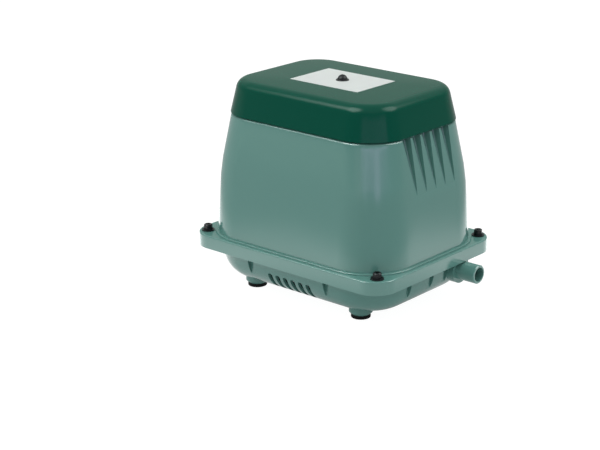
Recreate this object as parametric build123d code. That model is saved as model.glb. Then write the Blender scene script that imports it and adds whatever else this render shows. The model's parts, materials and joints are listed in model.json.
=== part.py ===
from build123d import *
from math import radians, tan
import os

# Linear air pump: die-cast housing, filter cover, and the diaphragm pump inside it.
# Millimetres, +Z up, +X towards the outlet, floor at z = 0.

# Flange band and its screws
flange_length = 248.0
flange_width = 191.0
flange_corner = 25.0
flange_top = 57.0
flange_skirt = 13.7
flange_plate = 5.0
skirt_wall = 3.6
flange_edge_round = 1.4
flange_screw_inset = 13.5
rim_gap = 0.5

# Upper housing walls
upper_wall = 3.5
foot_inset_x = 6.5
foot_inset_y = 6.0
foot_corner = 50.0
plinth_step = 2.8
plinth_height = 1.6
lower_draft = 3.5
upper_draft = 10.1
bend_height = 126.0
bend_blend = 9.0
bend_corner = 47.0
shoulder_height = 181.0
shoulder_corner = 41.0
shoulder_round = 3.0

# Deck under the cover
deck_thickness = 3.0
well_depth = 7.0
well_inset = 13.5
well_corner = 27.0
lip_wall = 2.2
lip_height = 3.5
post_radius = 8.0
post_height = 21.5
deck_slot_width = 3.6
deck_slot_length = 62.0
deck_slot_pitch = 9.0
deck_slot_count = 5
deck_slot_start = 32.0
filter_rib_height = 2.0

# Intake flutes
flute_count = 5
flute_pitch = 15.0
flute_width = 12.4
flute_depth = 8.5
flute_tip_height = 124.0
flute_tip_width = 1.0
flute_tip_round = 0.15
flute_round = 1.8
flute_floor = 3.2

# Filter cover
cover_gap = 1.0
cover_overhang = 0.6
cover_height = 34.0
cover_draft = 13.5
cover_corner = 41.0
cover_round = 11.0
cover_wall = 2.5
cover_boss_radius = 8.0
cover_rib_thickness = 2.0
cover_rib_share = 0.55
stop_offset = 3.4
stop_thickness = 2.4
stop_width = 8.0
stop_inset = 12.0
stop_reach = 9.0
label_length = 86.0
label_width = 59.0
label_thickness = 0.35

# Cover screw
cover_screw_radius = 2.5
cover_screw_flange = 6.5
cover_screw_flange_height = 1.2
cover_screw_dome = 5.0
cover_screw_reach = 14.0

# Filter element
filter_height = 18.0
filter_gap = 1.5

# Lower housing bowl
bowl_bottom = 9.0
bowl_wall = 3.0
bowl_inset_x = 10.5
bowl_inset_y = 11.0
bowl_corner = 48.0
bowl_round = 30.0
rim_lift = 1.2
gasket_thickness = 1.8

# Vent slots and draft grooves of the bowl
vent_count = 6
vent_pitch = 9.86
vent_width = 5.8
vent_round = 2.436
vent_top = 30.5
vent_bottom = 13.4
vent_reach = 24.0
groove_depth = 4.4
groove_width = 9.0
groove_tip_width = 5.0
groove_end_height = 18.0
groove_x = 49.2
groove_end_offsets = (-35.5, 0.0, 35.5)
groove_outlet_offsets = (-35.5, 0.0, 24.0)

# Screws and washers of the flange
housing_screw_radius = 2.4
washer_radius = 6.5
washer_thickness = 1.2
spring_radius = 4.6
spring_thickness = 1.1
hex_flats = 8.0
hex_height = 4.2
hex_crown = 0.55
cross_width = 1.3
cross_length = 5.0
cross_depth = 1.6

# Feet
foot_x = 68.5
foot_y = 54.0
foot_boss_radius = 11.75
foot_boss_chamfer = 2.2
foot_radius = 9.75
foot_height = 3.8
foot_round = 0.8
foot_screw_radius = 2.0
foot_screw_head = 3.6
foot_screw_depth = 7.0
foot_screw_head_height = 1.4

# Outlet
outlet_inset = 14.0
outlet_z = 33.0
outlet_radius = 9.5
outlet_bore = 7.25
outlet_neck = 9.0
outlet_collar_radius = 13.5
outlet_collar_reach = 5.0
outlet_length = 22.0
seal_width = 2.0

# Cord gland in the end opposite the outlet
gland_y = 17.75
gland_z = 33.0
gland_bore = 4.0
gland_neck = 7.0
gland_flange = 10.0
gland_flange_thickness = 2.5
gland_grip = 7.6

# Air tank
tank_length = 172.0
tank_width = 112.0
tank_corner = 16.0
tank_height = 33.0
tank_wall = 3.0
tank_lid = 3.0
tank_seal = 1.0
tank_chamfer = 3.0
tank_screw_boss = 4.5
tank_screw_x = 48.0
tank_screw_radius = 1.6
tank_screw_head = 3.2
tank_screw_head_height = 2.2
tank_screw_length = 12.0
tank_screw_clearance = 0.2

# Vibration mounts
mount_radius = 8.0
mount_height = 8.0
mount_inset_x = 11.0
mount_inset_y = 9.0
mount_waist = 5.76
mount_edge = 1.5
mount_screw_radius = 1.8
mount_screw_washer = 4.5
mount_screw_head = 3.2

# Pump frame
frame_length = 98.0
frame_width = 100.0
frame_plate = 3.0
frame_bore = 26.0

# Heads, from the frame plate outwards
head_size = 92.0
head_corner = 14.0
head_ground_gap = 2.0
casing_thickness = 6.0
diaphragm_rim = 2.0
diaphragm_radius = 42.0
diaphragm_bore = 36.0
diaphragm_web = 1.6
chamber_radius = 35.0
chamber_depth = 14.0
valve_wall = 4.0
back_depth = 12.0
head_gasket = 1.0
head_cover = 3.0
pocket_half_width = 30.0
pocket_bridge = 5.0
pocket_reach = 36.0
head_screw_inset = 8.0
head_screw_radius = 2.2
head_screw_head = 4.0

# Valves in the heads
valve_offset = 20.0
valve_radius = 10.5
valve_thickness = 1.2
valve_stem = 1.9
valve_bulb = 2.8
valve_lift = 1.5
valve_seat_gap = 0.3
port_count = 5
port_radius = 2.0
port_circle = 6.2
fit_clearance = 0.08

# Sleeves between heads and tank
spigot_radius = 8.0
spigot_bore = 5.5
spigot_length = 5.0
sleeve_wall = 2.5
clamp_width = 3.0
clamp_thickness = 0.8

# Armature
rod_radius = 4.0
magnet_thickness = 14.0
magnet_width = 18.0
magnet_height = 40.0
magnet_bridge = 8.0
holder_thickness = 12.0
holder_border = 6.0
plate_radius = 22.0
plate_thickness = 2.5
nut_flats = 10.0
nut_height = 5.0
rod_end = 2.0
trip_offset = 6.0
trip_arm_width = 4.0

# Electromagnets
pole_gap = 2.0
core_half_length = 32.0
core_depth = 31.0
core_yoke = 9.0
core_stack = 44.0
centre_pole = 14.0
outer_pole = 8.0
bobbin_wall = 1.2
bobbin_clearance = 0.3
coil_height = 12.0
core_bolt_radius = 2.0
core_bolt_head = 3.6
core_bolt_head_height = 3.0

# Stop switch and terminal block
switch_length = 18.0
switch_width = 12.0
switch_height = 11.0
lever_thickness = 0.8
lever_width = 5.0
lever_drop = 3.0
lever_pin = 0.8
pin_inset = 3.0
ear_half_length = 2.5
ear_drop = 2.0
switch_clearance = 6.0
terminal_length = 26.0
terminal_width = 14.0
terminal_height = 10.0
terminal_pitch = 8.125
terminal_screw_radius = 2.4
terminal_bore = 1.6
terminal_bore_height = 3.5
terminal_inset_x = 1.0
terminal_inset_y = 4.0

# Heights and places that follow
body_gap = 0.3
flange_bottom = flange_top - flange_skirt
shift = (outlet_collar_reach + outlet_length - bowl_inset_x) / 2
screw_x = flange_length / 2 - flange_screw_inset
screw_y = flange_width / 2 - flange_screw_inset - 0.5
wall_foot_x = flange_length / 2 - foot_inset_x
wall_foot_y = flange_width / 2 - foot_inset_y
bend_x = wall_foot_x - (bend_height - flange_top) * tan(radians(lower_draft))
bend_y = wall_foot_y - (bend_height - flange_top) * tan(radians(lower_draft))
shoulder_x = bend_x - (shoulder_height - bend_height) * tan(radians(upper_draft))
shoulder_y = bend_y - (shoulder_height - bend_height) * tan(radians(upper_draft))
deck_top = shoulder_height - well_depth
deck_under = deck_top - deck_thickness
well_x = shoulder_x - well_inset
well_y = shoulder_y - well_inset
post_top = deck_top + post_height
rim_top = flange_top - flange_plate - gasket_thickness
rim_bottom = flange_bottom + rim_lift
rim_length = flange_length - 2 * (skirt_wall + rim_gap)
rim_width = flange_width - 2 * (skirt_wall + rim_gap)
rim_corner = flange_corner - skirt_wall - rim_gap
bowl_x = flange_length / 2 - bowl_inset_x
outlet_y = tank_width / 2 - outlet_inset
bowl_y = flange_width / 2 - bowl_inset_y
bowl_floor = bowl_bottom + bowl_wall
tank_bottom = bowl_floor + body_gap
tank_top = tank_bottom + tank_height
lid_bottom = tank_top + tank_seal
lid_top = lid_bottom + tank_lid
frame_bottom = lid_top + mount_height
frame_top = frame_bottom + frame_plate
axis_z = frame_top + head_ground_gap + head_size / 2
plate_face = frame_length / 2
mount_x = plate_face - mount_inset_x
mount_y = frame_width / 2 - mount_inset_y
casing_face = plate_face + casing_thickness
head_face = casing_face + diaphragm_rim
valve_face = head_face + chamber_depth
pocket_face = valve_face + valve_wall
head_back = pocket_face + back_depth
cover_face = head_back + head_gasket
head_end = cover_face + head_cover
spigot_x = pocket_face + back_depth / 2
sleeve_bottom = lid_top + body_gap
sleeve_top = axis_z - head_size / 2 - body_gap
cover_bottom = shoulder_height + cover_gap
cover_top = cover_bottom + cover_height
cover_x = shoulder_x + cover_overhang
cover_y = shoulder_y + cover_overhang
core_face = magnet_thickness / 2 + pole_gap
core_back = core_face + core_depth
core_bottom = axis_z - core_stack / 2
core_top = axis_z + core_stack / 2
bobbin_x = centre_pole / 2 + bobbin_clearance
bobbin_z = core_stack / 2 + bobbin_clearance
coil_x = core_half_length - outer_pole - bobbin_wall
coil_z = bobbin_z + bobbin_wall + coil_height
bobbin_low = core_face + 1.5
bobbin_high = core_back - core_yoke - bobbin_clearance
holder_end = magnet_bridge / 2 + magnet_width + holder_border
nut_face = head_face + plate_thickness
rod_tip = nut_face + nut_height + rod_end
switch_low = axis_z + magnet_height / 2 + holder_border + switch_clearance
switch_wall = -plate_face + frame_plate
pin_x = switch_wall + switch_length - pin_inset
pin_z = switch_low - lever_drop
trip_arm_x = trip_offset - pin_x


def block(x_low, x_high, y_low, y_high, z_low, z_high):
    """Box between two corners."""
    centre = Pos((x_low + x_high) / 2, (y_low + y_high) / 2, (z_low + z_high) / 2)
    return centre * Box(x_high - x_low, y_high - y_low, z_high - z_low)


def slab(length, width, corner, z_low, z_high):
    """Plate with rounded corners, centred on the Z axis."""
    return extrude(Pos(0, 0, z_low) * RectangleRounded(length, width, corner), z_high - z_low)


def post(radius, x, y, z_low, z_high):
    """Upright cylinder."""
    return Pos(x, y, (z_low + z_high) / 2) * Cylinder(radius, z_high - z_low)


def bar(radius, x_low, x_high, y, z):
    """Cylinder along X."""
    return Pos((x_low + x_high) / 2, y, z) * Rot(0, 90, 0) * Cylinder(radius, x_high - x_low)


def square_plate(x_low, x_high, size, corner):
    """Square plate of a head, facing along X."""
    outline = Plane.YZ.offset(x_low) * Pos(0, axis_z) * RectangleRounded(size, size, corner)
    return extrude(outline, x_high - x_low)


def four(x, y):
    """The four places of a rectangle about the Z axis."""
    return [(sx * x, sy * y) for sx in (-1, 1) for sy in (-1, 1)]


def both_ends(piece):
    """A piece and its mirror image at the other end."""
    return piece, mirror(piece, Plane.YZ)


def group(pieces):
    """Separate solids in one node."""
    return Compound(list(pieces))


def save(name, piece):
    """Write one node, moved so that the origin is under the middle of the whole pump."""
    export_step(Pos(-shift, 0, 0) * piece, f"parts/{name}.step")


def wall_section(z, inset):
    """Outline of the upper wall at a height, pulled in by an inset."""
    if z <= bend_height:
        share = (z - flange_top) / (bend_height - flange_top)
        half_x = wall_foot_x + share * (bend_x - wall_foot_x)
        half_y = wall_foot_y + share * (bend_y - wall_foot_y)
        corner = foot_corner + share * (bend_corner - foot_corner)
    else:
        share = (z - bend_height) / (shoulder_height - bend_height)
        half_x = bend_x + share * (shoulder_x - bend_x)
        half_y = bend_y + share * (shoulder_y - bend_y)
        corner = bend_corner + share * (shoulder_corner - bend_corner)
    outline = RectangleRounded(2 * (half_x - inset), 2 * (half_y - inset), corner - inset)
    return Pos(0, 0, z) * outline


def wall_x(z):
    """Half length of the upper wall's outside at a height."""
    if z <= bend_height:
        return wall_foot_x - (z - flange_top) * tan(radians(lower_draft))
    return bend_x - (z - bend_height) * tan(radians(upper_draft))


def tapered_walls(z_low, z_high, inset):
    """Solid inside the upper walls, with a soft bend between the two drafts."""
    heights = [z_low, bend_height - bend_blend, bend_height + bend_blend, z_high]
    return loft([wall_section(z, inset) for z in heights], ruled=True)


def flute(y_far):
    """Tapered pocket: wide and deep at the shoulder, a point at the bottom."""
    top_z = shoulder_height + 1
    rise = (top_z - flute_tip_height) / (shoulder_height - flute_tip_height)
    tip_floor = wall_x(flute_tip_height) - 0.2
    top_floor = tip_floor + rise * (shoulder_x - flute_depth - tip_floor)
    reach = 3 * flute_depth
    tip_y = y_far - flute_tip_width / 2
    tip = RectangleRounded(reach, flute_tip_width, flute_tip_round)
    tip = Pos(tip_floor + reach / 2, tip_y, flute_tip_height) * tip
    top_centre = Pos(top_floor + reach / 2, y_far - flute_width * rise / 2, top_z)
    top = top_centre * RectangleRounded(reach, flute_width * rise, flute_round)
    return loft([tip, top], ruled=True)


def flutes():
    """All flutes of the outlet end, and their copies turned to the other end."""
    ridge = flute_pitch - flute_width
    start = -flute_pitch * flute_count / 2 + flute_pitch - ridge / 2
    one_end = [flute(start + flute_pitch * number) for number in range(flute_count)]
    return one_end + [Rot(0, 0, 180) * pocket for pocket in one_end]


def flute_pad():
    """Metal kept behind the flutes of the outlet end."""
    tip_x = wall_x(flute_tip_height) - flute_floor
    top_x = shoulder_x - flute_depth - flute_floor
    outline = Polyline(
        (top_x, shoulder_height), (tip_x, flute_tip_height), (wall_foot_x, flute_tip_height),
        (wall_foot_x, shoulder_height), close=True,
    )
    half_width = flute_pitch * flute_count / 2 + upper_wall
    face = make_face(Plane.XZ * outline)
    return extrude(face, half_width, both=True)


def upper_housing():
    """Tapered shell with flange band, filter deck, screw post and intake flutes."""
    band = slab(flange_length, flange_width, flange_corner, flange_bottom, flange_top)
    band = fillet(band.edges().group_by(Axis.Z)[-1], flange_edge_round)
    plinth = slab(
        2 * (wall_foot_x + plinth_step), 2 * (wall_foot_y + plinth_step), foot_corner + plinth_step,
        flange_top - 1, flange_top + plinth_height,
    )
    plinth = fillet(plinth.edges().group_by(Axis.Z)[-1], plinth_height * 0.6)
    walls = tapered_walls(flange_top - 1, shoulder_height, 0)
    walls = fillet(walls.edges().group_by(Axis.Z)[-1], shoulder_round)
    shell = band + plinth + walls
    recess = slab(
        flange_length - 2 * skirt_wall, flange_width - 2 * skirt_wall, flange_corner - skirt_wall,
        flange_bottom, flange_top - flange_plate,
    )
    pads = both_ends(flute_pad())
    cavity = tapered_walls(flange_top - flange_plate, deck_under, upper_wall)
    hollow_rim = slab(
        2 * (shoulder_x - upper_wall), 2 * (shoulder_y - upper_wall), shoulder_corner - upper_wall,
        deck_under, shoulder_height - upper_wall,
    )
    hollow_rim -= slab(
        2 * (well_x + deck_thickness), 2 * (well_y + deck_thickness), well_corner + deck_thickness,
        deck_under, shoulder_height,
    )
    for pad in pads:
        cavity -= pad
        hollow_rim -= pad
    well = slab(2 * well_x, 2 * well_y, well_corner, deck_top, shoulder_height + 1)
    lip = slab(
        2 * (well_x + lip_wall), 2 * (well_y + lip_wall), well_corner + lip_wall,
        shoulder_height - 1, shoulder_height + lip_height,
    )
    lip -= slab(2 * well_x, 2 * well_y, well_corner, shoulder_height - 2, shoulder_height + lip_height + 1)
    shell = shell - recess - cavity - hollow_rim - well + lip
    for pocket in flutes():
        shell -= pocket
    slot = SlotOverall(deck_slot_length, deck_slot_width, 90)
    slot = extrude(Pos(0, 0, deck_under - 1) * slot, deck_thickness + 2)
    for number in range(deck_slot_count):
        x = deck_slot_start + number * deck_slot_pitch
        shell = shell - Pos(x, 0, 0) * slot - Pos(-x, 0, 0) * slot
    for side in (-1, 1):
        rib_y = side * (deck_slot_length / 2 + deck_slot_width)
        rib_top = deck_top + filter_rib_height
        shell += block(-well_x + 4, well_x - 4, rib_y - 1, rib_y + 1, deck_top - 1, rib_top)
    shell += post(post_radius, 0, 0, deck_under, post_top)
    shell -= post(cover_screw_radius + fit_clearance, 0, 0, post_top - cover_screw_reach - 4, post_top + 1)
    for x, y in four(screw_x, screw_y):
        shell -= post(housing_screw_radius + body_gap, x, y, flange_bottom, flange_top + 1)
    return shell


def draft_groove(x, y, angle):
    """Tapered groove down the outside of the bowl, facing the angle."""
    top = Pos(0, 0, rim_bottom + 1) * Rectangle(2 * groove_depth, groove_width)
    tip = Pos(0, 0, groove_end_height) * Rectangle(2 * groove_depth, groove_tip_width)
    return Pos(x, y, 0) * Rot(0, 0, angle) * loft([tip, top], ruled=True)


def groove_places():
    """Centre and facing angle of every draft groove, on the bowl's outside face."""
    places = [(side * groove_x, -bowl_y, -90) for side in (-1, 1)]
    places += [(side * groove_x, bowl_y, 90) for side in (-1, 1)]
    places += [(bowl_x, y, 0) for y in groove_outlet_offsets]
    places += [(-bowl_x, y, 180) for y in groove_end_offsets]
    return places


def lower_housing():
    """Bowl with rounded bottom, rim, vents, draft grooves, foot bosses and outlet collar."""
    bowl = slab(2 * bowl_x, 2 * bowl_y, bowl_corner, bowl_bottom, rim_top)
    bowl = fillet(bowl.edges().group_by(Axis.Z)[0], bowl_round)
    hollow = slab(
        2 * (bowl_x - bowl_wall), 2 * (bowl_y - bowl_wall), bowl_corner - bowl_wall,
        bowl_floor, rim_top + 1,
    )
    hollow = fillet(hollow.edges().group_by(Axis.Z)[0], bowl_round - bowl_wall)
    pad_half = groove_width / 2 + bowl_wall
    for x, y, angle in groove_places():
        depth = groove_depth + bowl_wall
        pad = block(-depth, groove_depth, -pad_half, pad_half, groove_end_height, rim_top + 1)
        hollow -= Pos(x, y, 0) * Rot(0, 0, angle) * pad
    rim = slab(rim_length, rim_width, rim_corner, rim_bottom, rim_top)
    shell = bowl + rim
    for x, y in four(foot_x, foot_y):
        boss = post(foot_boss_radius, x, y, foot_height, bowl_floor + 2)
        boss = chamfer(boss.edges().group_by(Axis.Z)[0], foot_boss_chamfer)
        shell += boss
    collar_start = bowl_x - bowl_round / 3
    shell += bar(outlet_collar_radius, collar_start, bowl_x + outlet_collar_reach, outlet_y, outlet_z)
    shell += bar(gland_flange + 1, -bowl_x, -collar_start, gland_y, gland_z)
    shell -= hollow
    for x, y, angle in groove_places():
        shell -= draft_groove(x, y, angle)
    for number in range(vent_count):
        x = (number - (vent_count - 1) / 2) * vent_pitch
        half = vent_width / 2
        vent = block(x - half, x + half, bowl_y - vent_reach, bowl_y + 2, vent_bottom, vent_top)
        vent = fillet(vent.edges().filter_by(Axis.Y), vent_round)
        shell -= vent
        shell -= mirror(vent, Plane.XZ)
    collar_end = bowl_x + outlet_collar_reach + 1
    shell -= bar(outlet_neck + fit_clearance, collar_start - 1, collar_end, outlet_y, outlet_z)
    shell -= bar(gland_neck, -bowl_x - 1, -collar_start + 1, gland_y, gland_z)
    for x, y in four(foot_x, foot_y):
        shell -= post(foot_screw_radius, x, y, foot_height - 1, foot_height + foot_screw_depth)
    for x, y in four(screw_x, screw_y):
        shell -= post(housing_screw_radius, x, y, rim_bottom - 1, rim_top + 1)
    return shell


def housing_gasket():
    """Flat ring between rim and flange."""
    ring = slab(rim_length, rim_width, rim_corner, rim_top, rim_top + gasket_thickness)
    inner_corner = foot_corner - upper_wall
    ring -= slab(
        2 * (wall_foot_x - upper_wall), 2 * (wall_foot_y - upper_wall), inner_corner,
        rim_top - 1, rim_top + gasket_thickness + 1,
    )
    for x, y in four(screw_x, screw_y):
        hole = housing_screw_radius + body_gap
        ring -= post(hole, x, y, rim_top - 1, rim_top + gasket_thickness + 1)
    return ring


def cross_recess(size, width, depth):
    """Cross for a driver, cut downwards from z = 0."""
    return block(-size / 2, size / 2, -width / 2, width / 2, -depth, 1) + block(
        -width / 2, width / 2, -size / 2, size / 2, -depth, 1
    )


def housing_screw():
    """Hexagon head screw with a cross recess, head seat at z = 0."""
    head = extrude(RegularPolygon(hex_flats / 2, 6, major_radius=False), hex_height)
    crown = Pos(0, 0, hex_height / 2) * Cylinder(hex_flats / 2 + hex_crown, hex_height)
    crown = chamfer(crown.edges().group_by(Axis.Z)[-1], 0.9)
    head = (head & crown) - Pos(0, 0, hex_height) * cross_recess(cross_length, cross_width, cross_depth)
    reach = flange_top + washer_thickness + spring_thickness - rim_bottom
    return head + Pos(0, 0, -reach / 2) * Cylinder(housing_screw_radius, reach)


def ring(outer, inner, height):
    """Flat ring standing on z = 0."""
    return Pos(0, 0, height / 2) * (Cylinder(outer, height) - Cylinder(inner, height))


def at_flange_screws(piece, z):
    """The same piece at the four flange screws."""
    return group([Pos(x, y, z) * piece for x, y in four(screw_x, screw_y)])


def rubber_foot():
    """Rubber foot with a pocket for its screw, floor face at z = 0."""
    foot = Pos(0, 0, foot_height / 2) * Cylinder(foot_radius, foot_height)
    foot = fillet(foot.edges().group_by(Axis.Z)[0], foot_round)
    foot -= post(foot_screw_head + body_gap, 0, 0, -1, foot_height / 2)
    return foot - post(foot_screw_radius, 0, 0, 0, foot_height + 1)


def foot_screw():
    """Pan head screw that holds a foot to its boss."""
    seat = foot_height / 2
    head = post(foot_screw_head, 0, 0, seat - foot_screw_head_height, seat)
    return head + post(foot_screw_radius, 0, 0, 0.6, foot_height + foot_screw_depth - 1)


def outlet_pipe():
    """Pipe from the tank through the collar, with a hose spigot outside."""
    collar_end = bowl_x + outlet_collar_reach
    tip = collar_end + outlet_length
    start = tank_length / 2 - tank_wall
    pipe = bar(outlet_radius, collar_end, tip, outlet_y, outlet_z)
    pipe = chamfer(pipe.edges().group_by(Axis.X)[-1], 0.8)
    pipe += bar(outlet_neck, start, collar_end, outlet_y, outlet_z)
    return pipe - bar(outlet_bore, start - 1, tip + 1, outlet_y, outlet_z)


def outlet_seal():
    """Rubber ring on the pipe against the tank wall."""
    face = tank_length / 2
    ring_outer = bar(outlet_neck + seal_width, face, face + seal_width, outlet_y, outlet_z)
    return ring_outer - bar(outlet_neck, face - 1, face + seal_width + 1, outlet_y, outlet_z)


def cord_gland():
    """Flanged rubber bush in the end wall, with the bore for a cord."""
    face = -bowl_x
    bush = bar(gland_flange, face - gland_flange_thickness, face, gland_y, gland_z)
    bush = fillet(bush.edges().group_by(Axis.X)[0], 1.0)
    inner = face + gland_grip
    bush += bar(gland_neck, face, inner, gland_y, gland_z)
    bush += bar(gland_neck + 1.2, inner, inner + 2, gland_y, gland_z)
    return bush - bar(gland_bore, face - 10, inner + 10, gland_y, gland_z)


def tank_screw_places():
    """Places of the four lid screws."""
    return four(tank_screw_x, tank_width / 2 - tank_screw_boss - 1)


def air_tank():
    """Open-topped cast box that smooths the air flow."""
    tank = slab(tank_length, tank_width, tank_corner, tank_bottom, tank_top)
    tank = chamfer(tank.edges().group_by(Axis.Z)[0], tank_chamfer)
    tank -= slab(
        tank_length - 2 * tank_wall, tank_width - 2 * tank_wall, tank_corner - tank_wall,
        tank_bottom + tank_wall, tank_top + 1,
    )
    for x, y in tank_screw_places():
        tank += post(tank_screw_boss, x, y, tank_bottom + tank_wall, tank_top)
        tank -= post(tank_screw_radius, x, y, tank_top - tank_screw_length, tank_top + 1)
    wall = tank_length / 2
    return tank - bar(outlet_neck, wall - 2 * tank_wall, wall + 1, outlet_y, outlet_z)


def tank_cover(z_low, z_high, spigots):
    """Lid or gasket of the tank."""
    lid = slab(tank_length, tank_width, tank_corner, z_low, z_high)
    for x, y in tank_screw_places():
        lid -= post(tank_screw_radius + tank_screw_clearance, x, y, z_low - 1, z_high + 1)
    if not spigots:
        inside = tank_length - 2 * tank_wall - 2
        lid -= slab(inside - 16, tank_width - 2 * tank_wall - 18, tank_corner, z_low - 1, z_high + 1)
        return lid
    for side in (-1, 1):
        lid += post(spigot_radius, side * spigot_x, 0, z_high, z_high + spigot_length)
        lid -= post(spigot_bore, side * spigot_x, 0, z_low - 1, z_high + spigot_length + 1)
    return lid


def tank_screws():
    """Screws of the tank lid."""
    screw = post(tank_screw_head, 0, 0, lid_top, lid_top + tank_screw_head_height)
    screw += post(tank_screw_radius, 0, 0, tank_top - tank_screw_length + 2, lid_top)
    places = tank_screw_places()
    return group([Pos(x, y, 0) * screw for x, y in places])


def rubber_mounts():
    """Four waisted rubber mounts between tank lid and frame."""
    half = mount_height / 2
    edge = half - mount_edge
    outline = Polyline((0, -half), (mount_radius, -half), (mount_radius, -edge))
    outline += Polyline((mount_radius, edge), (mount_radius, half), (0, half), (0, -half))
    outline += ThreePointArc((mount_radius, -edge), (mount_waist, 0), (mount_radius, edge))
    mount = revolve(Plane.XZ * make_face(outline), Axis.Z)
    middle = (lid_top + frame_bottom) / 2
    return group([Pos(x, y, middle) * mount for x, y in four(mount_x, mount_y)])


def mount_screws():
    """Washer head screws through the frame into the mounts."""
    screw = post(mount_screw_washer, 0, 0, frame_top, frame_top + 0.8)
    screw += post(mount_screw_head, 0, 0, frame_top + 0.8, frame_top + 3)
    screw += post(mount_screw_radius, 0, 0, frame_bottom, frame_top)
    return group([Pos(x, y, 0) * screw for x, y in four(mount_x, mount_y)])


def pump_frame():
    """Base plate with upright end plates for the heads and side plates for the cores."""
    frame = slab(frame_length, frame_width, 6, frame_bottom, frame_top)
    top = axis_z + head_size / 2
    for side in (-1, 1):
        x_low = side * plate_face - (frame_plate if side > 0 else 0)
        plate = block(x_low, x_low + frame_plate, -head_size / 2, head_size / 2, frame_bottom, top)
        corners = plate.edges().filter_by(Axis.X).group_by(Axis.Z)[-1]
        frame += fillet(corners, head_corner)
        y_low = side * core_back - (frame_plate if side < 0 else 0)
        half = core_half_length
        frame += block(-half, half, y_low, y_low + frame_plate, frame_bottom, core_top)
        shelf = sorted((side * (core_back - core_yoke), side * (core_back + 1)))
        frame += block(-half, half, *shelf, core_bottom - frame_plate, core_bottom)
    frame -= bar(frame_bore, -plate_face - 1, plate_face + 1, 0, axis_z)
    for x, y in four(mount_x, mount_y):
        frame -= post(mount_screw_radius, x, y, frame_bottom - 1, frame_top + 1)
    for x, y in four(core_half_length - outer_pole / 2, core_back - core_yoke / 2):
        frame -= post(core_bolt_radius, x, y, core_bottom - frame_plate - 1, core_bottom + 1)
    for y, z in head_screw_places():
        frame -= bar(head_screw_radius, -plate_face - 1, plate_face + 1, y, z)
    return frame


def head_screw_places():
    """Corner screws of a head, as y and z."""
    reach = head_size / 2 - head_screw_inset
    return [(sy * reach, axis_z + sz * reach) for sy in (-1, 1) for sz in (-1, 1)]


def core():
    """Laminated E core behind the magnets, on the +Y side."""
    body = block(-core_half_length, core_half_length, core_face, core_back, core_bottom, core_top)
    for side in (-1, 1):
        slot = sorted((side * centre_pole / 2, side * (core_half_length - outer_pole)))
        body -= block(*slot, core_face - 1, core_back - core_yoke, core_bottom - 1, core_top + 1)
    for side in (-1, 1):
        x = side * (core_half_length - outer_pole / 2)
        body -= post(core_bolt_radius, x, core_back - core_yoke / 2, core_bottom - 1, core_top + 1)
    return body


def upright_frame(half_x, half_z, inner_x, inner_z, y_low, y_high, corner):
    """Rectangular ring round the centre pole."""
    plane = Plane.XZ.offset(-y_high)
    ring_face = plane * Pos(0, axis_z) * RectangleRounded(2 * half_x, 2 * half_z, corner)
    hole_face = plane * Pos(0, axis_z) * Rectangle(2 * inner_x, 2 * inner_z)
    return extrude(ring_face, y_high - y_low) - extrude(hole_face, y_high - y_low)


def bobbin():
    """Bobbin with two flanges on the centre pole, on the +Y side."""
    x, z = bobbin_x + bobbin_wall, bobbin_z + bobbin_wall
    tube = upright_frame(x, z, bobbin_x, bobbin_z, bobbin_low, bobbin_high, 1)
    for y in (bobbin_low, bobbin_high - bobbin_wall):
        tube += upright_frame(coil_x, coil_z, bobbin_x, bobbin_z, y, y + bobbin_wall, 3)
    return tube


def coil():
    """Winding between the bobbin's flanges, on the +Y side."""
    low, high = bobbin_low + bobbin_wall, bobbin_high - bobbin_wall
    inner_x, inner_z = bobbin_x + bobbin_wall, bobbin_z + bobbin_wall
    return upright_frame(coil_x - 1, coil_z - 1, inner_x, inner_z, low, high, 6)


def core_bolts():
    """Bolts down through the stacks and their shelves."""
    low = core_bottom - frame_plate
    bolt = post(core_bolt_radius, 0, 0, low, core_top)
    for z in (core_top, low - core_bolt_head_height):
        bolt += post(core_bolt_head, 0, 0, z, z + core_bolt_head_height)
    places = four(core_half_length - outer_pole / 2, core_back - core_yoke / 2)
    return group([Pos(x, y, 0) * bolt for x, y in places])


def magnet_holder():
    """Plate with two windows for the magnets."""
    half = magnet_height / 2 + holder_border
    depth = holder_thickness / 2
    plate = block(-holder_end, holder_end, -depth, depth, axis_z - half, axis_z + half)
    plate = fillet(plate.edges().filter_by(Axis.Y), 4)
    for side in (-1, 1):
        window = sorted((side * magnet_bridge / 2, side * (magnet_bridge / 2 + magnet_width)))
        z_low, z_high = axis_z - magnet_height / 2, axis_z + magnet_height / 2
        plate -= block(*window, -magnet_thickness, magnet_thickness, z_low, z_high)
    return plate


def magnets():
    """The two permanent magnets."""
    z_low, z_high = axis_z - magnet_height / 2, axis_z + magnet_height / 2
    x_low, x_high = magnet_bridge / 2, magnet_bridge / 2 + magnet_width
    magnet = block(x_low, x_high, -magnet_thickness / 2, magnet_thickness / 2, z_low, z_high)
    return group(both_ends(magnet))


def rod():
    """Rod from the magnet holder through the diaphragm, on the outlet side."""
    body = bar(rod_radius, holder_end, rod_tip, 0, axis_z)
    body = chamfer(body.edges().group_by(Axis.X)[-1], 0.6)
    collar_end = casing_face - plate_thickness
    return body + bar(rod_radius + 3, collar_end - 4, collar_end, 0, axis_z)


def centre_plates():
    """Plates on both faces of each diaphragm."""
    plates = []
    for x_low in (casing_face - plate_thickness, head_face):
        plate = bar(plate_radius, x_low, x_low + plate_thickness, 0, axis_z)
        edge = plate.edges().group_by(Axis.X)[0 if x_low < casing_face else -1]
        plate = fillet(edge, plate_thickness * 0.6)
        plates += both_ends(plate - bar(rod_radius, x_low - 1, x_low + plate_thickness + 1, 0, axis_z))
    return group(plates)


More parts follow.
